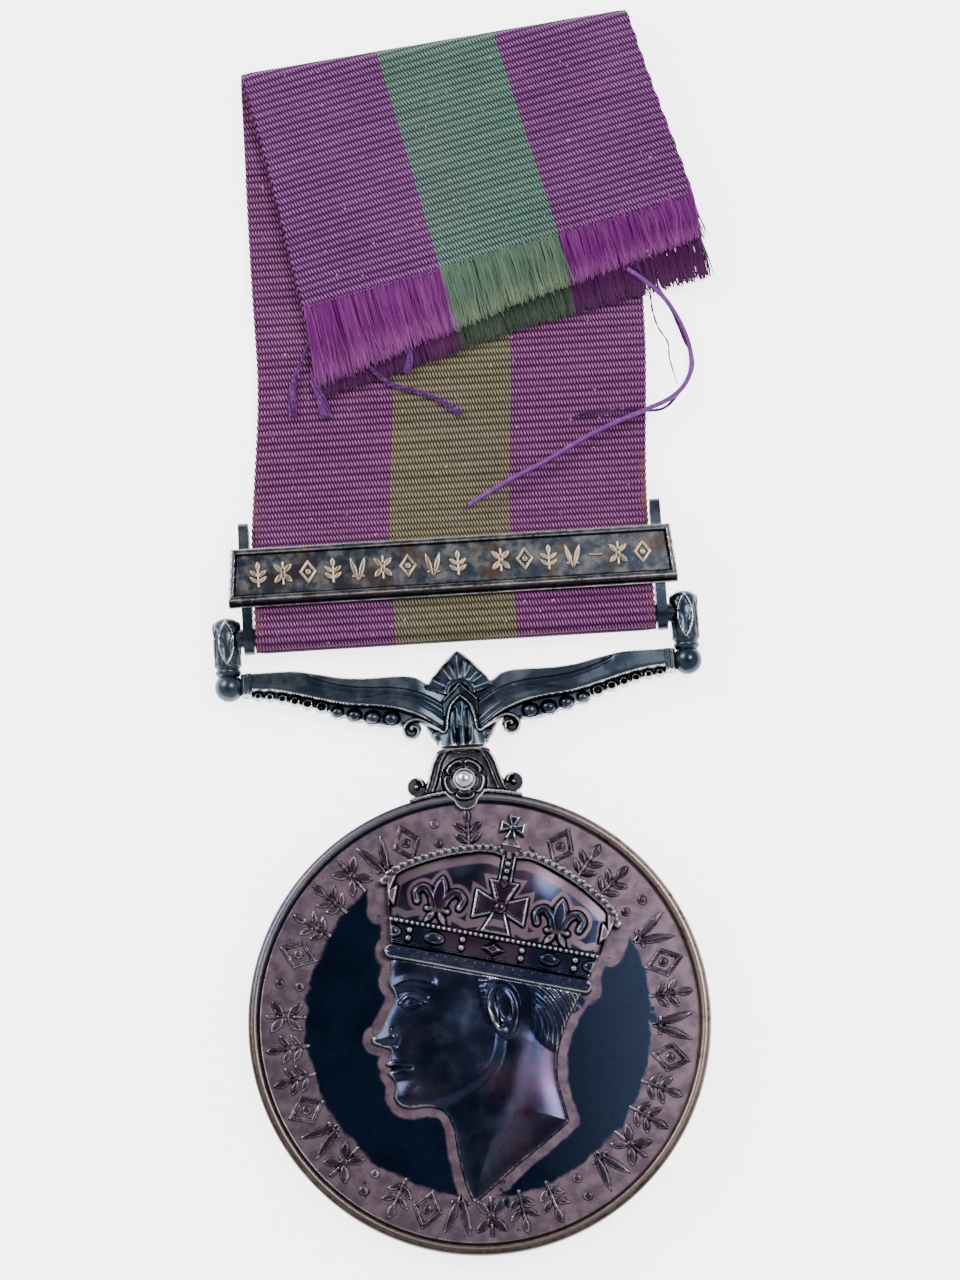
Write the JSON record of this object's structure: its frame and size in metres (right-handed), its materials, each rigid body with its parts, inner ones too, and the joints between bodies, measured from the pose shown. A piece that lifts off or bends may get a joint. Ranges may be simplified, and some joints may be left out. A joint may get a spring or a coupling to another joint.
{
  "type": "campaign service medal",
  "caption": "Round silver service medal with a crowned head, a swivelling scroll suspender, one clasp and a folded two-colour ribbon.",
  "frame": {"origin": "centre of the disc, on the plane that the reverse rim rests on", "axes": "+Y from the disc towards the ribbon, +Z out of the obverse"},
  "size_m": [0.0399, 0.1002, 0.0043],
  "materials": {
    "disc_silver": "toned silver, glossy field",
    "fitting_silver": "oxidised silver with bright edges",
    "ribbon": "ribbed silk",
    "thread": "loose warp thread"
  },
  "bodies": {
    "suspender": {"suspender": "fitting_silver", "ribbon_rail": "fitting_silver"},
    "medal": {"medal_disc": "disc_silver", "claw_mount": "fitting_silver", "claw_pin": "fitting_silver", "swivel_pin": "fitting_silver"},
    "clasp": {"clasp_plate": "fitting_silver", "clasp_lug_left": "fitting_silver", "clasp_lug_right": "fitting_silver", "ribbon_standing": "ribbon", "ribbon_fold": "ribbon"},
    "tail": {"ribbon_tail": "ribbon", "loose_thread": "thread"}
  },
  "joints": [
    {"name": "swivel", "type": "hinge", "parent": "suspender", "child": "medal", "pos_m": [0, 0.02235, 0.0015], "axis": [0, 1, 0], "continuous": true},
    {"name": "clasp_hinge", "type": "hinge", "parent": "suspender", "child": "clasp", "pos_m": [0, 0.03155, 0.0015], "axis": [1, 0, 0], "range_deg": [-100, 100]},
    {"name": "tail_fold", "type": "hinge", "parent": "clasp", "child": "tail", "pos_m": [0.001, 0.07905, 0.00135], "axis": [-0.9936, -0.1132, 0], "range_deg": [0, 170], "deforming": ["ribbon_fold"]}
  ]
}
